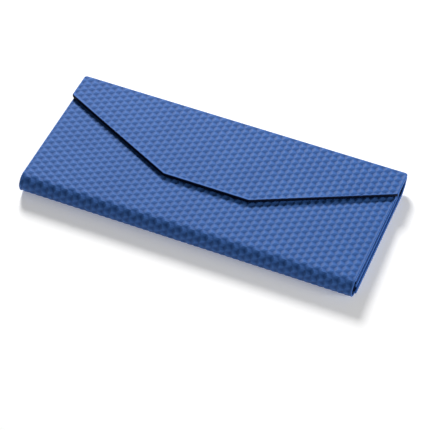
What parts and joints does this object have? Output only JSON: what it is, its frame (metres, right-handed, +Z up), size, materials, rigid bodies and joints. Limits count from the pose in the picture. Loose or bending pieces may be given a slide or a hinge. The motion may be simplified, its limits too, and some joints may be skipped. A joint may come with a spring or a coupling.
{
  "type": "eyeglasses case",
  "caption": "Folding leather-covered eyeglasses case, lying flat with its envelope flap closed by hidden magnets over the folded walls.",
  "frame": {"origin": "centre of the footprint, on the surface that the closed case lies on", "axes": "+X along the case, +Y from the rounded spine to the flap's fold, +Z up through the folded walls"},
  "size_m": [0.165, 0.0744, 0.0112],
  "materials": {
    "leather": "blue synthetic leather pressed with a small diamond pattern, semi-matte",
    "lining": "dark blue short-pile lining",
    "board": "dark grey pressed board",
    "magnet": "nickel plated",
    "keeper_steel": "plain sheet steel"
  },
  "bodies": {
    "back_wall": {"back_board": "board", "back_cover": "leather", "back_lining": "lining", "flap_strip": "leather", "spine_cover": "leather", "spine_lining": "lining"},
    "trough": {"base_board": "board", "base_cover": "leather", "base_keepers": "keeper_steel", "base_lining": "lining", "front_board": "board", "front_cover": "leather", "front_fold": "leather", "front_keepers": "keeper_steel", "front_lining": "lining", "gusset_left_base_board": "board", "gusset_left_base_cover": "leather", "gusset_left_base_lining": "lining", "gusset_left_front_board": "board", "gusset_left_front_cover": "leather", "gusset_left_front_lining": "lining", "gusset_right_base_board": "board", "gusset_right_base_cover": "leather", "gusset_right_base_lining": "lining", "gusset_right_front_board": "board", "gusset_right_front_cover": "leather", "gusset_right_front_lining": "lining"},
    "flap": {"flap_board": "board", "flap_cover": "leather", "flap_lining": "lining", "flap_magnets": "magnet"}
  },
  "joints": [
    {"name": "spine_hinge", "type": "hinge", "parent": "back_wall", "child": "trough", "pos_m": [0, -0.032, 0.0052], "axis": [1, 0, 0], "range_deg": [0, 25], "deforming": ["spine_cover", "spine_lining"]},
    {"name": "flap_hinge", "type": "hinge", "parent": "back_wall", "child": "flap", "pos_m": [0, 0.0363, 0.00793], "axis": [-1, 0, 0], "range_deg": [0, 160], "deforming": ["flap_strip"]}
  ],
  "couplings": [
    {"joint": "flap_hinge", "follows": "spine_hinge", "ratio": 6.4}
  ]
}
